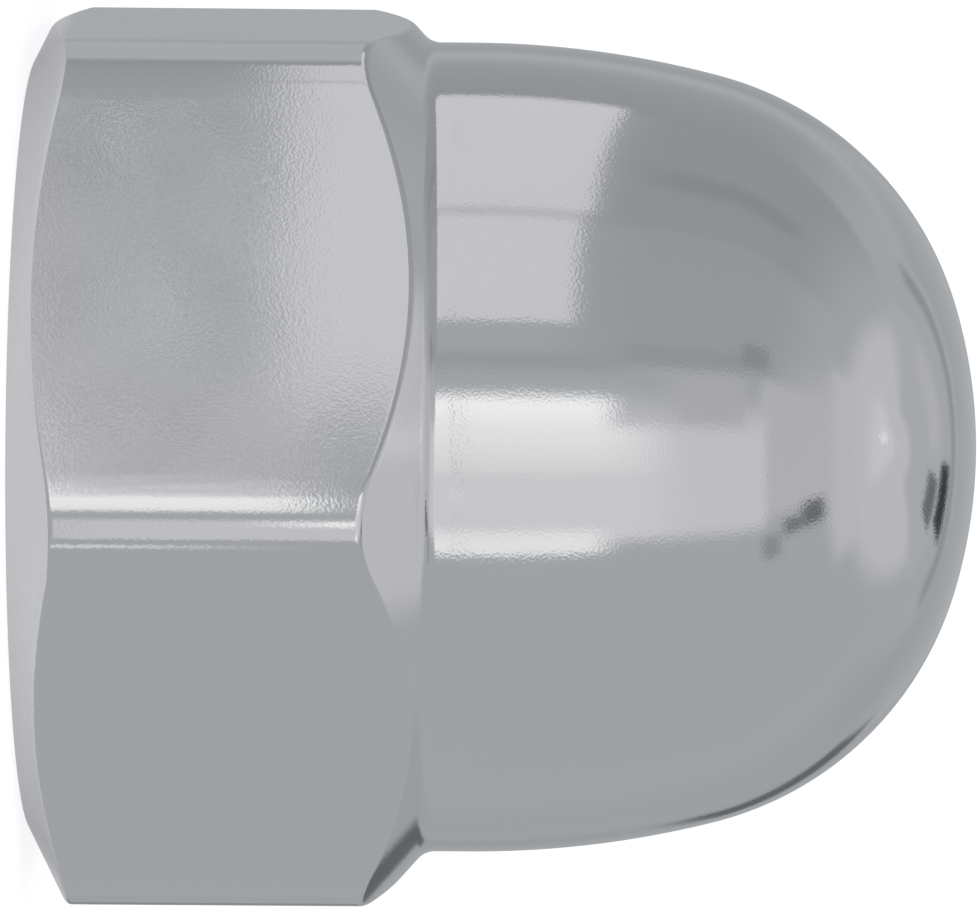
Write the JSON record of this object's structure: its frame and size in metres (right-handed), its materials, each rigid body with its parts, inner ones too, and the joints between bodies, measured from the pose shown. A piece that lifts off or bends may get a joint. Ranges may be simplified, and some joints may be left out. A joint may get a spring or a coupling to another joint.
{
  "type": "cap nut",
  "caption": "Domed hexagon cap nut in bright chrome, with a blind threaded hole that closes and covers the end of a bolt or threaded rod.",
  "frame": {"origin": "centre of the bearing face, on the thread's axis", "axes": "+Z along the thread's axis from the bearing face to the tip of the dome, +X through a corner of the hexagon"},
  "size_m": [0.0212, 0.019, 0.0211],
  "materials": {
    "chrome_plate": "bright chrome plate over steel, with a fine orange-peel ripple from polishing"
  },
  "bodies": {
    "root": {"cap_nut": "chrome_plate"}
  },
  "joints": []
}
